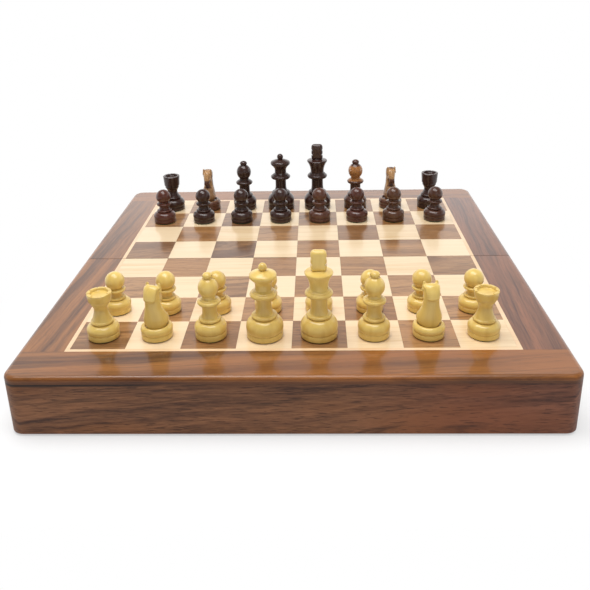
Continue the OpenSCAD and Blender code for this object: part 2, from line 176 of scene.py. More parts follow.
class Socket:
    """A node's output that can be used in arithmetic. Each operation adds a Math node."""

    def __init__(self, shader, output):
        self.shader = shader
        self.output = output

    def math(self, operation, *values):
        sockets = dict(enumerate((self, *values)))
        return self.shader.node("Math", {"operation": operation}, sockets)

    def over(self, limit):
        """1 where the value is greater than limit, else 0."""
        return self.math("GREATER_THAN", limit)

    def __add__(self, other):
        return self.math("ADD", other)

    def __sub__(self, other):
        return self.math("SUBTRACT", other)

    def __rsub__(self, other):
        return self.shader.node("Math", {"operation": "SUBTRACT"}, {0: other, 1: self})

    def __mul__(self, other):
        return self.math("MULTIPLY", other)

    def __truediv__(self, other):
        return self.math("DIVIDE", other)

    __radd__ = __add__
    __rmul__ = __mul__


class Shader:
    """Nodes of a new material, or of a world, that are added by calls."""

    def __init__(self, name, world=None):
        self.owner = world or bpy.data.materials.new(name)
        self.owner.use_nodes = True
        self.tree = self.owner.node_tree
        self.tree.nodes.clear()
        self.place = self.node("TexCoord", out="Generated" if world else "Object")

    def node(self, kind, settings=None, sockets=None, out=0):
        """Adds a node, sets it up, feeds its sockets and gives one of its outputs."""
        made = self.tree.nodes.new("ShaderNode" + kind)
        for key, value in (settings or {}).items():
            if key == "stops":
                self.set_stops(made.color_ramp, value)
            else:
                setattr(made, key, value)
        for key, value in (sockets or {}).items():
            self.feed(made.inputs[key], value)
        return Socket(self, made.outputs[out])

    def feed(self, socket, value):
        if isinstance(value, Socket):
            self.tree.links.new(value.output, socket)
        elif socket.type == "RGBA" and len(value) == 3:
            socket.default_value = (*value, 1)
        else:
            socket.default_value = value

    def set_stops(self, ramp, stops):
        while len(ramp.elements) < len(stops):
            ramp.elements.new(1)
        for element, (position, shade) in zip(ramp.elements, stops):
            element.position = position
            element.color = (*shade, 1)

    def ramp(self, value, *stops):
        """A colour that runs through the stops as value goes from 0 to 1."""
        return self.node("ValToRGB", {"stops": stops}, {0: value})

    def step(self, value, low, high):
        """0 below low, 1 above high and smooth between."""
        return self.node(
            "MapRange", {"interpolation_type": "SMOOTHSTEP"}, {"Value": value, 1: low, 2: high})

    def mix(self, first, second, factor, blend="MIX"):
        """Mixes two colours."""
        settings = {"data_type": "RGBA", "blend_type": blend}
        return self.node("Mix", settings, {0: factor, 6: first, 7: second}, out=2)

    def split(self, vector):
        """The three numbers of a vector."""
        made = self.node("SeparateXYZ", None, {0: vector}).output.node
        return [Socket(self, output) for output in made.outputs]

    def join(self, x, y, z):
        return self.node("CombineXYZ", None, {0: x, 1: y, 2: z})

    def noise(self, vector, scale, detail=3, roughness=0.55, distortion=0):
        sockets = {"Vector": vector, "Scale": scale, "Detail": detail, "Roughness": roughness,
                   "Distortion": distortion}
        return self.node("TexNoise", None, sockets)

    def chance(self, vector):
        """A number from 0 to 1 that differs from cell to cell."""
        return self.node("TexWhiteNoise", {"noise_dimensions": "3D"}, {"Vector": vector})

    def bump(self, height, depth):
        """A normal for relief of this depth in metres."""
        return self.node("Bump", None, {"Height": height, "Distance": depth, "Strength": 1.0})

    def principled(self, varying, fixed):
        """The surface: linked sockets by name, and sockets that are the same all over."""
        made = self.tree.nodes.new("ShaderNodeBsdfPrincipled")
        for values in (fixed, varying):
            for key, value in values.items():
                self.feed(made.inputs[key], value)
        return self.end(Socket(self, made.outputs[0]))

    def end(self, surface, kind="Material"):
        """Shows the surface, and gives the material or world."""
        made = self.tree.nodes.new("ShaderNodeOutput" + kind)
        self.feed(made.inputs["Surface"], surface)
        return self.owner


# Thick lacquer of the board, and the thinner polish of the pieces
LACQUER = {"Coat Roughness": 0.15, "Coat IOR": 1.5, "Specular IOR Level": 0.25}
POLISH = {"Coat Weight": 0.6, "Coat Roughness": 0.13, "Specular IOR Level": 0.25}
BLACK_GLOSS, WHITE_GLOSS = 0.36, 0.34


# ---- Woods ------------------------------------------------------------------

def log_figure(shader, run, across, up, seed, lean=0.12, sway=0.009):
    """Figure of a board sawn from a log whose heart lies along run, a little askew.

    Gives growth bands, streaks, fibres and pores, each about 0 to 1.
    """
    warp = shader.noise(shader.join(run * 11, across * 26, up * 26 + seed * 40), 1.0, 3, 0.5) - 0.5
    aside = across - 0.02 + seed * 0.05 - run * lean
    below = up + 0.035 + seed * 0.03 + run * lean * 0.4
    radius = (aside * aside + below * below).math("SQRT") + warp * sway
    bands = shader.noise(shader.join(radius * 170, run * 3, seed * 30), 1.0, 3, 0.6)
    streaks = shader.noise(shader.join(radius * 620, run * 14, seed * 30), 1.0, 4, 0.65)
    fibres = shader.noise(shader.join(run * 90, across * 900, up * 900), 1.0, 3, 0.65)
    dashes = shader.noise(shader.join(run * 120, across * 1000, up * 1000), 1.0, 2, 0.5)
    return bands, streaks, fibres, shader.step(dashes, 0.58, 0.68)


def dark_board(shader, figure, dark, light, tone=0, warmth=0.5, fine=1.0):
    """Colour and relief of rosewood. tone moves the board paler, warmth towards orange.

    fine is the strength of the fibres and pores.
    """
    bands, streaks, fibres, pores = figure
    value = bands * 0.55 + streaks * 0.45 + (fibres - 0.5) * 0.35 * fine + tone
    middle = [a * 0.5 + b * 0.5 for a, b in zip(dark, light)]
    shade = shader.ramp(value, (0.40, dark), (0.50, middle), (0.60, light))
    orange = [c * f for c, f in zip(light, (1.02, 0.84, 0.50))]
    shade = shader.mix(shade, orange, warmth)
    ink = [c * 0.35 for c in dark]
    shade = shader.mix(shade, ink, shader.step(streaks, 0.53, 0.68) * 0.6 * fine)
    shade = shader.mix(shade, ink, pores * 0.55 * fine)
    return shade, streaks - pores * 0.8


def plank_grain(shader, border):
    """Directions of the grain of a border plank or wall, and a number for each board."""
    x, y, z = shader.split(shader.place)
    outer = y.math("ABSOLUTE").over(border)
    board = shader.chance(shader.join(x.over(0) * (1 - outer), y.over(0), outer))
    run = x * outer + y * (1 - outer) + board * 0.7
    across = y * outer + x * (1 - outer)
    return run, across, z, board, outer


def plank_wood(woods, border):
    """Rosewood planks that run across the board at its outer edges and along it at its sides."""
    shader = Shader("rosewood_planks")
    run, across, z, board, outer = plank_grain(shader, border)
    figure = log_figure(shader, run, across, z, board, 0.06)
    glow = shader.noise(shader.join(run * 7, across * 22, board * 9), 1.0, 2)
    shade, relief = dark_board(
        shader, figure, woods.plank_dark, woods.plank_light, 0,
        shader.step(glow, 0.42, 0.68) * (0.2 + outer * 0.4), 0.35)
    right = shader.split(shader.place)[0].over(0) * (1 - outer)
    shade = shader.mix(shade, (0.82, 0.76, 1.22), right, "MULTIPLY")
    # Painted shade: the lower part of the rounded edge is darkened, and the upright edge below it more,
    # where the edge faces away from the lamp above.
    edge_shade = 1 - shader.step(z, TOP_Z - 2.7 * MM, TOP_Z - 2.2 * MM)
    arris_shade = shader.step(z, TOP_Z - 2.6 * MM, TOP_Z - 2.0 * MM) * (
        1 - shader.step(z, TOP_Z - 1.6 * MM, TOP_Z - 0.8 * MM))
    shade = shader.mix(shade, (0.66, 0.60, 0.60), arris_shade, "MULTIPLY")
    shade = shader.mix(shade, (0.46, 0.40, 0.38), edge_shade, "MULTIPLY")
    return shader.principled(
        {"Base Color": shade, "Normal": shader.bump(relief, 0.014 * MM),
         "Coat Weight": shader.step(z, TOP_Z - 0.4 * MM, TOP_Z - 0.05 * MM) * 0.8 + 0.2},
        {"Roughness": 0.45, **LACQUER})


def wall_wood(name, woods, border):
    """Darker rosewood of the case walls, with a painted shadow line under the planks, strongest at the left.
    """
    shader = Shader(name)
    run, across, z, board, outer = plank_grain(shader, border)
    figure = log_figure(shader, run, z * 1.15, across, board + 0.62, 0.07, 0.006)
    glow = shader.noise(shader.join(run * 8, z * 30, board * 9), 1.0, 2)
    shade, relief = dark_board(
        shader, figure, woods.wall_dark, woods.wall_light, 0, shader.step(glow, 0.45, 0.70) * 0.6)
    # Painted shadow: a dark wavy line just under the planks, where the plank edge would shade the wall.
    wave = shader.noise(shader.join(run * 9, 0.0, board * 5), 1.0, 2) * 2.6 * MM
    line = shader.step(z + wave, TOP_Z - 4.6 * MM, TOP_Z - 3.4 * MM)
    x = shader.split(shader.place)[0]
    # old marks the left part of the wall, where the painted shadow line is strongest.
    old = 1 - shader.step(x, -0.085, -0.060)
    shade = shader.mix(shade, [c * 0.22 for c in woods.wall_dark], line * (old * 0.65 + 0.25))
    shade = shader.mix(shade, (0.86, 0.74, 0.90), shader.step(x, 0.02, 0.11), "MULTIPLY")
    return shader.principled(
        {"Base Color": shade, "Normal": shader.bump(relief, 0.02 * MM)},
        {"Roughness": 0.5, "Coat Weight": 0.05, "Coat Roughness": 0.25, "Specular IOR Level": 0.25})


def tile_cell(shader, x, y):
    """The square that a point is in, as a vector of whole numbers."""
    file_index = (x / SQUARE).math("FLOOR")
    rank_index = ((y.math("ABSOLUTE") - FOLD_Y) / SQUARE).math("FLOOR")
    return shader.join(file_index, rank_index, y.over(0))


def dark_squares(woods):
    """Rosewood squares. Each is cut from another piece of veneer, so tone and warmth differ."""
    shader = Shader("dark_squares")
    x, y, z = shader.split(shader.place)
    cell = tile_cell(shader, x, y)
    luck = shader.chance(cell)
    other = shader.chance(shader.node("VectorMath", {"operation": "ADD"}, {0: cell, 1: (9.2, 3.7, 5.1)}))
    figure = log_figure(
        shader, x + luck * 3.1, y * 1.2 + other * 0.13, z + luck * 0.05, other, (0.20 - other * 0.34),
        0.010)
    shade, relief = dark_board(
        shader, figure, woods.square_dark, woods.square_light, (luck - 0.5) * 0.17, other * 0.5, 0.75)
    return shader.principled(
        {"Base Color": shade, "Normal": shader.bump(relief, 0.012 * MM)},
        {"Roughness": 0.45, "Coat Weight": 1.0, **LACQUER})


def pale_wood(name, tint, tiled):
    """Maple: faint streaks along the board and a slightly different tint from square to square."""
    shader = Shader(name)
    x, y, z = shader.split(shader.place)
    luck = shader.chance(tile_cell(shader, x, y)) if tiled else 0.5
    run, across = (x + luck * 2.3, y + luck * 1.1) if tiled else (x, y)
    bands, streaks, fibres, _ = log_figure(shader, run, across, z, luck, 0.05)
    value = bands * 0.5 + streaks * 0.35 + fibres * 0.15
    if tiled:
        value = value + (luck - 0.5) * 0.18
    deep = [c * f for c, f in zip(tint, (0.86, 0.78, 0.66))]
    pale = [min(1, c * f) for c, f in zip(tint, (1.04, 1.07, 1.14))]
    shade = shader.ramp(value, (0.30, deep), (0.50, tint), (0.72, pale))
    return shader.principled(
        {"Base Color": shade, "Normal": shader.bump(streaks, 0.006 * MM)},
        {"Roughness": 0.45, "Coat Weight": 1.0, **LACQUER})


def panel_wood(woods):
    """Bare birch panel, with long soft figure and no lacquer."""
    shader = Shader("birch_panel")
    x, y, z = shader.split(shader.place)
    bands, _, fibres, _ = log_figure(shader, x, y, z, 0.5)
    deep = [c * 0.72 for c in woods.ply]
    shade = shader.ramp(bands * 0.6 + fibres * 0.4, (0.3, deep), (0.7, woods.ply))
    return shader.principled(
        {"Base Color": shade, "Normal": shader.bump(fibres, 0.03 * MM)}, {"Roughness": 0.7})


def turned_wood(name, tint, spread, gloss):
    """Polished wood of a turned piece: grain runs up the piece, and each square's piece differs."""
    shader = Shader(name)
    x, y, z = shader.split(shader.place)
    luck = shader.chance(tile_cell(shader, x, y))
    grain = shader.noise(shader.join(x * 190 + luck * 40, y * 190, z * 26), 1.0, 2, 0.5, 0.3)
    fine = shader.noise(shader.join(x * 1400, y * 1400, z * 120), 1.0, 2)
    value = grain * 0.6 + fine * 0.12 + luck * spread + (0.28 - spread) * 0.5
    deep = [c * f for c, f in zip(tint, (0.86, 0.79, 0.66))]
    pale = [min(1, c * f) for c, f in zip(tint, (1.08, 1.12, 1.22))]
    shade = shader.ramp(value, (0.30, deep), (0.50, tint), (0.72, pale))
    return shader.principled(
        {"Base Color": shade, "Normal": shader.bump(fine, 0.006 * MM)},
        {"Roughness": gloss, **POLISH})


def streaked_wood(name, woods, node):
    """Rosewood with pale sapwood, on the face and chest of a knight or the head of a bishop."""
    shader = Shader(name)
    x, y, z = shader.split(shader.place)
    low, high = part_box(node)
    up = (z - low.z) / (high.z - low.z)
    wander = shader.noise(shader.join(x * 160, y * 160, z * 60), 1.0, 3) - 0.5
    grain = shader.noise(shader.join(x * 900, y * 900, z * 170), 1.0, 3, 0.6)
    front = (y - (low.y + high.y) / 2) / -MM
    edge = up + wander * 0.05
    if "knight" in node:
        muzzle = shader.step(edge, 0.50, 0.54) * (1 - shader.step(edge, 0.70, 0.74))
        sap = shader.step(front + wander * 5, -1.5, 0.5)
        sap = sap * (1 - muzzle * shader.step(front, 1.5, 2.5)) * shader.step(up, 0.20, 0.26)
        sap = sap * (shader.step(up, 0.44, 0.56) * 0.5 + 0.5)
        pale, heart = woods.knight_sap, woods.knight_heart
    else:
        sap = shader.step(edge, 0.57, 0.60) * (1 - shader.step(up, 0.86, 0.89))
        pale, heart = woods.bishop_sap, woods.bishop_heart
    tone = shader.mix(heart, pale, sap)
    shade = shader.mix(tone, [c * 0.45 for c in heart], shader.step(grain, 0.48, 0.75) * 0.35)
    return shader.principled(
        {"Base Color": shade, "Normal": shader.bump(grain, 0.01 * MM)},
        {"Roughness": BLACK_GLOSS, **POLISH})


# ---- Felt and metals --------------------------------------------------------

def felt_cloth(woods):
    """Pressed wool: no weave, short tangled fibres and a soft sheen."""
    shader = Shader("green_felt")
    tangle = shader.noise(shader.place, 2600, 4, 0.7, 1.4)
    patch = shader.noise(shader.place, 90, 3, 0.6)
    deep = [c * 0.45 for c in woods.felt]
    pale = [min(1, c * 1.9) for c in woods.felt]
    shade = shader.ramp(tangle * 0.7 + patch * 0.3, (0.32, deep), (0.52, woods.felt), (0.72, pale))
    return shader.principled(
        {"Base Color": shade, "Normal": shader.bump(tangle, 0.25 * MM)},
        {"Roughness": 0.95, "Sheen Weight": 0.35, "Sheen Roughness": 0.45,
         "Specular IOR Level": 0.2})


def rolled_metal(name, tint, roughness):
    """Rubbed metal: fine scratches along X and slightly clouded patches."""
    shader = Shader(name)
    x, y, z = shader.split(shader.place)
    scratches = shader.noise(shader.join(x * 500, y * 9000, z * 9000), 1.0, 3, 0.6)
    clouds = shader.noise(shader.place, 420, 3, 0.6)
    deep = [c * 0.62 for c in tint]
    shade = shader.mix(tint, deep, shader.step(clouds, 0.45, 0.75) * 0.6)
    return shader.principled(
        {"Base Color": shade, "Roughness": roughness + scratches * 0.22,
         "Normal": shader.bump(scratches, 0.01 * MM)},
        {"Metallic": 1.0})


# ---- Outlines of the turned pieces ------------------------------------------
# An outline is a list of (radius, height) in metres, from the foot up.

def oval(centre, wide, high, start, end, steps=12):
    angles = [math.radians(start + (end - start) * k / steps) for k in range(steps + 1)]
    return [(centre[0] + wide * math.cos(a), centre[1] + high * math.sin(a)) for a in angles]


def fall(first, last, bow, steps=10):
    """A curve that leaves steeply and settles along the last point."""
    return [(last[0] + (first[0] - last[0]) * (1 - t) ** bow, first[1] + (last[1] - first[1]) * t)
            for t in (k / steps for k in range(steps + 1))]


def rise(first, last, bow, steps=10):
    """A curve that starts along the first point and opens towards the last."""
    return [(first[0] + (last[0] - first[0]) * t ** bow, first[1] + (last[1] - first[1]) * t)
            for t in (k / steps for k in range(steps + 1))]


def foot(r, ring, disc, middle, bulge, bead):
    """A disc, a bulge of radius r on it up to the height bulge, and a beaded ring above."""
    rim = 0.4 * MM
    return [
        (0, PAD_H), (r * 0.95, PAD_H), (r * 0.973, PAD_H + rim / 3), (r * 0.98, PAD_H + rim),
        (r * 0.98, disc - rim), (r * 0.972, disc - rim / 3), (r * 0.95, disc),
        *oval((r * 0.94, middle), r * 0.06, middle - disc, -68, 0, 6),
        *oval((ring - bead, middle), r - ring + bead, bulge - middle, 6, 88, 14),
        *oval((ring - bead, bulge + bead), bead, bead, -80, 90, 9),
    ]


def collar(stem, wide, height, half):
    """A collar that flares from a stem to a rounded rim of this half thickness."""
    return [
        *rise((stem, height - 2.2 * half), (wide - half / 2, height - half), 1.3, 6),
        *oval((wide - half, height), half, half, -60, 90, 10),
    ]


def king_outline(h, r, bead):
    return [
        *foot(r, r * 0.68, 4 * MM, h * 0.12, h * 0.235, bead),
        *fall((r * 0.49, h * 0.282), (r * 0.43, h * 0.38), 2),
        *collar(r * 0.43, r * 0.74, h * 0.512, 1.3 * MM),
        (r * 0.60, h * 0.545), (r * 0.595, h * 0.552), (r * 0.57, h * 0.556),
        (r * 0.50, h * 0.561), (r * 0.485, h * 0.567),
        *rise((r * 0.49, h * 0.575), (r * 0.735, h * 0.735), 2.2),
        (r * 0.748, h * 0.742), (r * 0.745, h * 0.750), (r * 0.71, h * 0.758),
        *fall((r * 0.66, h * 0.760), (r * 0.30, h * 0.772), 2, 6), (0, h * 0.772),
    ]


def queen_outline(h, r, bead):
    return [
        *foot(r, r * 0.69, 4 * MM, h * 0.142, h * 0.27, bead),
        *fall((r * 0.49, h * 0.324), (r * 0.40, h * 0.43), 2),
        *collar(r * 0.40, r * 0.73, h * 0.588, 1.25 * MM),
        (r * 0.58, h * 0.622), (r * 0.58, h * 0.63), (r * 0.555, h * 0.635),
        (r * 0.48, h * 0.640), (r * 0.455, h * 0.648),
        *rise((r * 0.43, h * 0.655), (r * 0.435, h * 0.73), 1, 4),
        *rise((r * 0.45, h * 0.74), (r * 0.70, h * 0.812), 1.2, 8),
        (r * 0.716, h * 0.82), (r * 0.724, h * 0.833), (r * 0.718, h * 0.847), (r * 0.69, h * 0.860),
        *fall((r * 0.64, h * 0.868), (r * 0.20, h * 0.905), 0.8, 8),
        *oval((0, h - r * 0.23), r * 0.23, r * 0.23, -50, 84, 14), (0, h),
    ]


def bishop_outline(h, r, bead):
    return [
        *foot(r, r * 0.70, 4 * MM, h * 0.155, h * 0.26, bead),
        *fall((r * 0.52, h * 0.315), (r * 0.45, h * 0.41), 2),
        *collar(r * 0.45, r * 0.72, h * 0.555, 1.15 * MM),
        (r * 0.56, h * 0.588), (r * 0.555, h * 0.597), (r * 0.53, h * 0.601),
        (r * 0.43, h * 0.607), (r * 0.41, h * 0.625),
        *oval((0, h * 0.77), r * 0.62, h * 0.157, -48, 60, 20),
        (r * 0.26, h * 0.906), (r * 0.24, h * 0.911),
        *oval((0, h * 0.95), r * 0.31, h * 0.05, -40, 84, 12), (0, h),
    ]


def rook_outline(h, r, bead, crown=0.83, rim=0.76):
    """crown is the share of the height at which the crown starts, rim its radius at the top."""
    return [
        *foot(r, r * 0.70, 3.6 * MM, h * 0.20, h * 0.325, bead),
        *fall((r * 0.62, h * 0.40), (r * 0.42, h * (crown - 0.20)), 1.5),
        *rise((r * 0.42, h * (crown - 0.18)), (r * 0.57, h * (crown - 0.075)), 1.6),
        (r * 0.588, h * (crown - 0.062)), (r * 0.592, h * (crown - 0.03)), (r * 0.585, h * (crown - 0.012)),
        (r * (rim - 0.07), h * (crown - 0.002)), (r * (rim - 0.055), h * (crown + 0.004)),
        (r * rim, h * 0.98), (r * (rim - 0.002), h * 0.993), (r * (rim - 0.03), h),
        (r * (rim - 0.18), h), (r * (rim - 0.2), h * 0.993), (r * (rim - 0.22), h * 0.952),
        (r * (rim - 0.25), h * 0.943), (0, h * 0.94),
    ]


def tall_rook_outline(h, r, bead):
    """The black rook, whose crown is deeper and narrower."""
    return rook_outline(h, r, bead, 0.73, 0.71)


def pawn_outline(h, r, bead, ball=0.70, rim=0.71):
    """ball is the radius of the head against the foot's, and rim the collar's."""
    return [
        *foot(r, r * 0.66, 3.4 * MM, h * 0.205, h * 0.33, bead * 0.8),
        *fall((r * 0.50, h * 0.395), (r * 0.43, h * 0.47), 1.5),
        *collar(r * 0.43, r * rim, h * 0.565, 0.85 * MM),
        (r * 0.53, h * 0.60), (r * 0.51, h * 0.606), (r * 0.47, h * 0.610),
        *oval((0, h - r * ball), r * ball, r * ball, -46, 86, 22), (0, h),
    ]


def small_pawn_outline(h, r, bead):
    """The black pawn, whose head and collar are smaller."""
    return pawn_outline(h, r, bead, 0.66, 0.66)


def knight_outline(h, r, bead):
    rim = 0.4 * MM
    return [
        (0, PAD_H), (r * 0.95, PAD_H), (r * 0.973, PAD_H + rim / 3), (r * 0.98, PAD_H + rim),
        (r * 0.98, 3.2 * MM), (r * 0.97, 3.45 * MM), (r * 0.94, 3.6 * MM),
        *oval((r * 0.92, h * 0.155), r * 0.08, h * 0.045, -70, 0, 6),
        *oval((r * 0.76, h * 0.155), r * 0.24, h * 0.078, 8, 90, 12),
        (r * 0.72, h * 0.228), (r * 0.69, h * 0.215), (r * 0.68, h * 0.20), (0, h * 0.20),
    ]


OUTLINES = {
    "king": king_outline, "queen": queen_outline, "bishop": bishop_outline,
    "rook": rook_outline, "black_rook": tall_rook_outline,
    "pawn": pawn_outline, "black_pawn": small_pawn_outline,
    "knight": knight_outline, "black_knight": knight_outline,
}


# ---- Modelling helpers ------------------------------------------------------

def deselect():
    if bpy.context.object and bpy.context.object.mode != "OBJECT":
        bpy.ops.object.mode_set(mode="OBJECT")
    bpy.ops.object.select_all(action="DESELECT")


def activate(piece):
    deselect()
    piece.select_set(True)
    bpy.context.view_layer.objects.active = piece


def apply(piece, kind, **settings):
    """Adds a modifier with these settings and applies it."""
    activate(piece)
    modifier = piece.modifiers.new(kind.title(), kind)
    for key, value in settings.items():
        setattr(modifier, key, value)
    bpy.ops.object.modifier_apply(modifier=modifier.name)


def settle(piece):
    """Puts the piece's place into its mesh, so that its object is at the origin."""
    activate(piece)
    bpy.ops.object.transform_apply(location=True, rotation=True, scale=True)


def smooth(piece, angle):
    activate(piece)
    bpy.ops.object.shade_smooth_by_angle(angle=angle)


def finish_piece(piece, name, body, material, slot, *nodes):
    """Names the piece, gives it its finish and lets it ride in place of the CAD nodes."""
    piece.name = piece.data.name = name
    if not piece.data.materials:
        piece.data.materials.append(material)
    settle(piece)
    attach(piece, body)
    if nodes:
        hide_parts(*nodes)
    return piece


def lathe(outline, steps):
    """Turns an outline about the Z axis: one point is drawn out along it and then spun."""
    deselect()
    bpy.ops.mesh.primitive_plane_add(size=1 * MM)
    piece = bpy.context.object
    bpy.ops.object.mode_set(mode="EDIT")
    bpy.ops.mesh.merge(type="CENTER")
    last = (0, 0)
    for point in outline:
        move = (point[0] - last[0], 0, point[1] - last[1])
        if last == (0, 0):
            bpy.ops.transform.translate(value=move)
        elif Vector(move).length > 0.01 * MM:
            bpy.ops.mesh.extrude_region_move(TRANSFORM_OT_translate={"value": move})
        else:
            continue
        last = point
    bpy.ops.mesh.select_all(action="SELECT")
    bpy.ops.mesh.spin(steps=steps, angle=math.tau, center=(0, 0, 0), axis=(0, 0, 1))
    bpy.ops.mesh.select_all(action="SELECT")
    bpy.ops.mesh.remove_doubles(threshold=0.002 * MM)
    bpy.ops.mesh.normals_make_consistent(inside=False)
    bpy.ops.object.mode_set(mode="OBJECT")
    return piece


def place_ring(old, new):
    """Moves the selected ring from one (y, z, half width, half depth, tilt) to another."""
    centre = (0, old[0], old[1])
    turn = {"orient_axis": "X", "orient_type": "GLOBAL", "center_override": centre}
    bpy.ops.transform.rotate(value=old[4], **turn)
    bpy.ops.transform.resize(value=(new[2] / old[2], new[3] / old[3], 1), center_override=centre)
    bpy.ops.transform.rotate(value=-new[4], **turn)
    bpy.ops.transform.translate(value=(0, new[0] - old[0], new[1] - old[1]))


def rounded_block(low, high, round_r, steps=3):
    """A block between two corners with its edges rounded."""
    deselect()
    low, high = Vector(low), Vector(high)
    bpy.ops.mesh.primitive_cube_add(size=1, location=(low + high) / 2)
    piece = bpy.context.object
    piece.dimensions = high - low
    settle(piece)
    apply(piece, "BEVEL", width=round_r, segments=steps, limit_method="NONE")
    return piece


def join(pieces):
    """Joins pieces into the first one."""
    activate(pieces[0])
    for piece in pieces[1:]:
        piece.select_set(True)
    bpy.ops.object.join()
    return pieces[0]


def cut(piece, tool):
    """Cuts the tool's shape out of the piece and removes the tool."""
    apply(piece, "BOOLEAN", object=tool, operation="DIFFERENCE", solver="EXACT")
    bpy.data.objects.remove(tool)


# ---- Men --------------------------------------------------------------------

def ball(place, radii, tilt=0):
    """An ellipsoid with these half sizes, tipped about the X axis."""
    deselect()
    bpy.ops.mesh.primitive_uv_sphere_add(segments=32, ring_count=20, radius=1, location=place)
    piece = bpy.context.object
    piece.scale = radii
    piece.rotation_euler.x = tilt
    settle(piece)
    return piece


def peg(place, radius, length, tilt, sharp=0):
    """A round peg, or with sharp a cone that narrows to that radius, tipped by (x, y, z)."""
    deselect()
    bpy.ops.mesh.primitive_cone_add(
        vertices=32, radius1=radius, radius2=sharp, depth=length, location=place, rotation=tilt)
    piece = bpy.context.object
    settle(piece)
    return piece


def loft(rings):
    """A body drawn out through rings (y, z, half width, half depth, tilt), closed at both ends."""
    deselect()
    bpy.ops.mesh.primitive_circle_add(vertices=32, radius=1 * MM, fill_type="NGON")
    piece = bpy.context.object
    bpy.ops.object.mode_set(mode="EDIT")
    bpy.ops.mesh.select_all(action="SELECT")
    place_ring((0, 0, 1 * MM, 1 * MM, 0), rings[0])
    for last, ring in zip(rings, rings[1:]):
        bpy.ops.mesh.extrude_region_move()
        place_ring(last, ring)
    bpy.ops.mesh.select_all(action="SELECT")
    bpy.ops.mesh.normals_make_consistent(inside=False)
    bpy.ops.object.mode_set(mode="OBJECT")
    return piece


def king_cross(h, r):
    """The slab on the king's crown, rounded at the top and nicked at each side."""
    wide, thick, low = r * 0.84, r * 0.5, h * 0.757
    high = h - low
    slab = rounded_block((-wide / 2, -thick / 2, low), (wide / 2, thick / 2, h), r * 0.21, 6)
    for side in (-1, 1):
        for across, up in ((0.47, 0.36), (0.5, 0.64)):
            place = (side * wide * across, 0, low + high * up)
            cut(slab, peg(place, wide * 0.08, r, (math.pi / 2, 0, 0), wide * 0.08))
    return slab


def knight_head(h, r, grain):
    """Neck, head, ears and mane, carved from one block. The knight looks along +Y."""
    def at(y, z, x=0):
        return (x * r, y * r, z * h)

    def rings(tilt, *places):
        return [(y * r, z * h, wide * r, deep * r, tilt + lean) for y, z, wide, deep, lean in places]

    neck = loft(rings(
        0, (0.04, 0.19, 0.56, 0.62, 0), (0.04, 0.25, 0.66, 0.72, 0), (0.06, 0.31, 0.75, 0.79, 0),
        (0.03, 0.37, 0.72, 0.76, 0), (-0.08, 0.46, 0.61, 0.62, 0), (-0.19, 0.56, 0.49, 0.48, 0),
        (-0.20, 0.66, 0.46, 0.44, -0.1), (-0.18, 0.76, 0.45, 0.42, -0.3),
        (-0.13, 0.85, 0.44, 0.34, -0.6), (-0.06, 0.90, 0.40, 0.20, -0.9)))
    face = loft(rings(
        0.7, (-0.04, 0.885, 0.38, 0.20, 0), (0.08, 0.85, 0.41, 0.27, 0), (0.20, 0.795, 0.38, 0.30, 0),
        (0.31, 0.735, 0.32, 0.29, 0), (0.40, 0.68, 0.28, 0.25, 0), (0.46, 0.635, 0.29, 0.21, 0),
        (0.48, 0.605, 0.22, 0.13, 0)))
    lumps = [neck, face, ball(at(0.06, 0.71), (0.40 * r, 0.26 * r, 0.10 * h))]
    for side in (-1, 1):
        lumps.append(peg(at(0.04, 0.905, side * 0.36), 0.20 * r, 0.14 * h, (-0.1, side * 0.08, 0), 0.07 * r))
        lumps.append(ball(at(0.12, 0.855, side * 0.32), (0.10 * r, 0.19 * r, 0.020 * h), -0.9))
    locks = 10
    for number in range(locks):
        angle = math.radians(84 + 76 * number / (locks - 1))
        place = at(-0.17 + 0.42 * math.cos(angle), 0.65 + 0.255 * math.sin(angle))
        wide = 0.49 - 0.012 * number
        lumps.append(ball(place, (wide * r, 0.17 * r, 0.050 * h), angle - math.pi / 2))
    head = join(lumps)
    apply(head, "REMESH", mode="VOXEL", voxel_size=grain)
    apply(head, "SMOOTH", factor=0.5, iterations=3)
    for side in (-1, 1):
        cut(head, ball(at(0.18, 0.81, side * 0.41), (0.07 * r, 0.10 * r, 0.018 * h), -0.9))
        cut(head, ball(at(0.60, 0.645, side * 0.18), (0.05 * r, 0.05 * r, 0.012 * h)))
    cut(head, rounded_block(at(0.50, 0.612, -0.5), at(0.75, 0.620, 0.5), 0.1 * MM))
    eyes = [ball(at(0.18, 0.81, side * 0.365), (0.05 * r, 0.07 * r, 0.014 * h)) for side in (-1, 1)]
    return join([head, *eyes])


def model_man(kind, high, r, men, felt):
    """One man of a kind, standing at the origin on its felt."""
    man = lathe(OUTLINES[kind](high, r, men.bead), int(men.steps))
    if kind == "king":
        man = join([man, king_cross(high, r)])
    elif kind in HEAD_WIDTHS:
        head = knight_head(high, r, men.grain)
        head.scale.x = HEAD_WIDTHS[kind]
        settle(head)
        man = join([man, head])
    elif kind == "bishop":
        blade = rounded_block(
            (-r, -SLIT_W / 2, -high * 0.02), (r, SLIT_W / 2, high * 0.2), 0.05 * MM, 1)
        blade.rotation_euler.x = math.radians(38)
        blade.location = (0, r * 0.40, high * 0.81)
        settle(blade)
        cut(man, blade)
    elif kind in ("rook", "black_rook"):
        for number in range(NICKS):
            nick = rounded_block(
                (-r, -NICK_W / 2, high * 0.982), (r, NICK_W / 2, high * 1.05), 0.05 * MM, 1)
            nick.rotation_euler.z = (number + 0.5) * math.pi / NICKS
            settle(nick)
            cut(man, nick)
    man.data.materials.clear()
    man.data.materials.append(felt)
    deselect()
    bpy.ops.mesh.primitive_cylinder_add(
        vertices=int(men.steps), radius=r * 0.87, depth=PAD_H, location=(0, 0, PAD_H / 2))
    pad = bpy.context.object
    pad.data.materials.append(felt)
    return man, pad


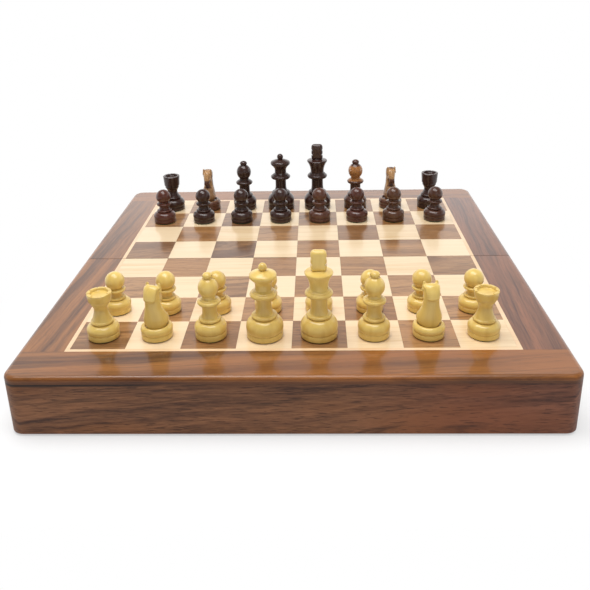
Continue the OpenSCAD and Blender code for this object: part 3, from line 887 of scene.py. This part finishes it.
class CHESSBOX_OT_men(bpy.types.Operator):
    """Turns one man of each kind and stands a copy on every square that has one"""

    bl_idname = "chessbox.men"
    bl_label = "Chess pieces"

    def execute(self, context):
        men, woods = context.scene.chess_men, context.scene.chess_woods
        felt = bpy.data.materials.get("green_felt")
        dark = turned_wood("rosewood", woods.rosewood, 0.12, BLACK_GLOSS)
        finishes = {
            "white": (turned_wood("boxwood", woods.boxwood, 0.12, WHITE_GLOSS), "boxwood"),
            "black": (dark, "rosewood_piece"),
        }
        odd = {
            **{node: streaked_wood("streaked_" + node[6:], woods, node)
               for node in ("black_knight_b", "black_knight_g", "black_bishop_f")},
            **{node: turned_wood("rosewood_" + node[6:], [a * b for a, b in zip(woods.rosewood, shade)],
                                 0.05, BLACK_GLOSS) for node, shade in SHADES.items()},
        }
        models, heights = {}, {}
        for side, (material, slot) in finishes.items():
            for man, kind in MEN.items():
                node = f"{side}_{man}"
                low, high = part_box(node)
                if f"{side}_{kind}" in OUTLINES:
                    kind = f"{side}_{kind}"
                if kind not in models:
                    width = (high.x - low.x) / 2 / 0.98 if "knight" in kind else (high.x - low.x) / 2
                    heights[kind] = high.z - low.z
                    models[kind] = model_man(kind, heights[kind], width, men, felt)
                copies = []
                for model in models[kind]:
                    copy = model.copy()
                    copy.data = model.data.copy()
                    context.scene.collection.objects.link(copy)
                    copies.append(copy)
                smooth(copies[0], men.crease)
                copies[0].data.materials[0] = odd.get(node, material)
                copy = join(copies)
                copy.location = ((low.x + high.x) / 2, (low.y + high.y) / 2, low.z)
                copy.rotation_euler.z = math.radians(TURNS.get(node, 0)) + (
                    math.pi if side == "black" else 0)
                copy.scale = [(high.z - low.z) / heights[kind]] * 3
                finish_piece(copy, f"man_{node}", node, material, slot, node)
        for pair in models.values():
            for model in pair:
                bpy.data.objects.remove(model)
        return {"FINISHED"}


# ---- Case -------------------------------------------------------------------

def dress(node, material):
    """Gives a CAD node its finish."""
    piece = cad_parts[node]
    piece.data.materials.clear()
    piece.data.materials.append(material)


class CHESSBOX_OT_case(bpy.types.Operator):
    """Finishes the walls, planks, strip, squares and panels"""

    bl_idname = "chessbox.case"
    bl_label = "Case and board"

    def execute(self, context):
        woods = context.scene.chess_woods
        border = OUTER_Y - BORDER_W
        plank = plank_wood(woods, border)
        wall = wall_wood("rosewood_walls", woods, border)
        # With a border of -1 the whole wall counts as outer, so its grain runs across the board
        hinge_wall = wall_wood("rosewood_hinge_walls", woods, -1)
        finishes = {
            "planks": plank, "outer_wall": wall, "side_walls": wall, "hinge_wall": hinge_wall,
            "dark_squares": dark_squares(woods),
            "light_squares": pale_wood("maple_squares", woods.maple, True),
            "inlay": pale_wood("inlay_strip", woods.strip, False),
            "deck": panel_wood(woods),
        }
        for half in HALVES:
            for part, material in finishes.items():
                dress(f"{half}_{part}", material)
        return {"FINISHED"}


def loose_boxes(node):
    """The box of each separate solid of a CAD node."""
    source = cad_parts[node]
    spare = source.copy()
    spare.data = source.data.copy()
    bpy.context.scene.collection.objects.link(spare)
    activate(spare)
    bpy.ops.object.mode_set(mode="EDIT")
    bpy.ops.mesh.select_all(action="SELECT")
    bpy.ops.mesh.remove_doubles(threshold=0.002 * MM)
    bpy.ops.mesh.separate(type="LOOSE")
    bpy.ops.object.mode_set(mode="OBJECT")
    parts = list(bpy.context.selected_objects)
    boxes = []
    for part in parts:
        points = [part.matrix_world @ vertex.co for vertex in part.data.vertices]
        boxes.append((Vector(map(min, zip(*points))), Vector(map(max, zip(*points)))))
        bpy.data.objects.remove(part)
    return boxes


class CHESSBOX_OT_trays(bpy.types.Operator):
    """Lays the felt in the trays and covers the dividers with it"""

    bl_idname = "chessbox.trays"
    bl_label = "Felt trays"

    def execute(self, context):
        felt = felt_cloth(context.scene.chess_woods)
        for half in HALVES:
            low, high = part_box(half + "_felt")
            cloth = rounded_block(low, high, 0.35 * MM, 2)
            finish_piece(cloth, half + "_tray_felt", half + "_half", felt, "green_felt", half + "_felt")
            bars = [rounded_block(*corners, 0.9 * MM, 4) for corners in loose_boxes(half + "_dividers")]
            bars = join(bars)
            finish_piece(bars, half + "_tray_dividers", half + "_half", felt, "green_felt",
                         half + "_dividers")
            smooth(bars, math.radians(40))
        return {"FINISHED"}


class CHESSBOX_OT_metal(bpy.types.Operator):
    """Finishes the hinges, their pins and screws and the closing magnets"""

    bl_idname = "chessbox.metal"
    bl_label = "Hinges and magnets"

    def execute(self, context):
        woods = context.scene.chess_woods
        brass = rolled_metal("rubbed_brass", woods.brass, 0.22)
        for node in ("base_leaves", "lid_leaves", "pins", "base_screws", "lid_screws"):
            dress("hinge_" + node, brass)
        plating = rolled_metal("plated_magnet", woods.magnet, 0.16)
        for half in HALVES:
            dress(half + "_magnets", plating)
        return {"FINISHED"}


# ---- Stage ------------------------------------------------------------------

def seen_directly(shader):
    """1 for rays from the camera and for those that metal and glass send on."""
    made = shader.node("LightPath").output.node
    rays = [Socket(shader, made.outputs[name])
            for name in ("Is Camera Ray", "Is Glossy Ray", "Is Transmission Ray")]
    return rays[0].math("MAXIMUM", rays[1]).math("MAXIMUM", rays[2])


def paper(name):
    """Pale floor: shows its shadows near the box, and is white elsewhere."""
    shader = Shader(name)
    x, y, z = shader.split(shader.place)
    aside = x.math("ABSOLUTE") - BOARD_W / 2
    ahead = y.math("ABSOLUTE") - OUTER_Y
    away = shader.step(aside.math("MAXIMUM", ahead), 0.0, 0.07)
    matt = shader.node("BsdfDiffuse", None, {"Color": (0.90, 0.90, 0.90)})
    glow = shader.node("Emission", None, {"Color": (1, 1, 1), "Strength": 1.0})
    mixed = shader.node(
        "MixShader", None, {0: seen_directly(shader) * (away * 0.5 + 0.5), 1: matt, 2: glow})
    return shader.end(mixed)


def studio_light(world, sky):
    """White behind the object, and round it a bright low wall that is dimmer towards the front."""
    shader = Shader("", world)
    x, y, z = shader.split(shader.place)
    low_wall = 1 - shader.step(z, 0.50, 0.72)
    band = 1 - shader.step(z, 0.30, 0.42)
    behind = shader.step(y, -0.60, 0.30)
    strength = (low_wall * 0.65 + band * 0.5 + 0.20) * (behind * 0.75 + 0.25) * sky
    camera = shader.node("LightPath", out="Is Camera Ray")
    strength = strength * (1 - camera) + camera
    shader.end(shader.node("Background", None, {"Color": (1, 1, 1), "Strength": strength}), "World")


def soft_lamp(name, place, aim, size, watts):
    data = bpy.data.lights.new(name, "AREA")
    data.shape = "RECTANGLE"
    data.size, data.size_y = size
    data.energy = watts
    lamp = bpy.data.objects.new(name, data)
    lamp.location = place
    lamp.rotation_euler = (Vector(aim) - Vector(place)).to_track_quat("-Z", "Y").to_euler()
    bpy.context.scene.collection.objects.link(lamp)


class CHESSBOX_OT_stage(bpy.types.Operator):
    """Sets up the camera, the pale floor and the soft studio light"""

    bl_idname = "chessbox.stage"
    bl_label = "Stage"

    def execute(self, context):
        stage, scene = context.scene.chess_stage, context.scene
        data = bpy.data.cameras.new("camera")
        data.lens = stage.lens
        data.shift_y = stage.shift
        camera = bpy.data.objects.new("camera", data)
        camera.location = (stage.camera_x, -stage.camera_y, TOP_Z + stage.camera_z)
        camera.rotation_euler = (stage.tilt, stage.lean, stage.turn)
        scene.collection.objects.link(camera)
        scene.camera = camera

        deselect()
        bpy.ops.mesh.primitive_plane_add(size=12, location=(0, 0, 0))
        floor = context.object
        floor.name = "floor"
        floor.data.materials.append(paper("paper"))

        soft_lamp("lamp_above", (-0.10, -0.12, 1.2), (0, 0, 0), (1.2, 0.7), stage.above)
        soft_lamp("lamp_front", (0.35, -1.2, 0.6), (0, 0, 0.02), (1.0, 0.6), stage.front)

        world = bpy.data.worlds.new("studio")
        scene.world = world
        studio_light(world, stage.sky)
        scene.view_settings.view_transform = "Standard"
        return {"FINISHED"}


# ---- Panel and registration -------------------------------------------------

STEPS = (CHESSBOX_OT_stage, CHESSBOX_OT_case, CHESSBOX_OT_trays, CHESSBOX_OT_metal, CHESSBOX_OT_men)


class CHESSBOX_PT_panel(bpy.types.Panel):
    """Lists the steps that dress the chess box"""

    bl_idname = "CHESSBOX_PT_panel"
    bl_label = "Chess box"
    bl_space_type = "VIEW_3D"
    bl_region_type = "UI"
    bl_category = "Chess box"

    def draw(self, context):
        for step in STEPS:
            self.layout.operator(step.bl_idname)
        for group in (context.scene.chess_woods, context.scene.chess_men, context.scene.chess_stage):
            for key in group.bl_rna.properties.keys():
                if key not in ("rna_type", "name"):
                    self.layout.prop(group, key)


CLASSES = (ChessBoxWoods, ChessBoxMen, ChessBoxStage, *STEPS, CHESSBOX_PT_panel)


def register():
    for item in CLASSES:
        bpy.utils.register_class(item)
    bpy.types.Scene.chess_woods = PointerProperty(type=ChessBoxWoods)
    bpy.types.Scene.chess_men = PointerProperty(type=ChessBoxMen)
    bpy.types.Scene.chess_stage = PointerProperty(type=ChessBoxStage)


def unregister():
    del bpy.types.Scene.chess_stage
    del bpy.types.Scene.chess_men
    del bpy.types.Scene.chess_woods
    for item in reversed(CLASSES):
        bpy.utils.unregister_class(item)


def main():
    register()
    bpy.ops.chessbox.stage()
    bpy.ops.chessbox.case()
    bpy.ops.chessbox.trays()
    bpy.ops.chessbox.metal()
    bpy.ops.chessbox.men()


if __name__ == "__main__":
    main()
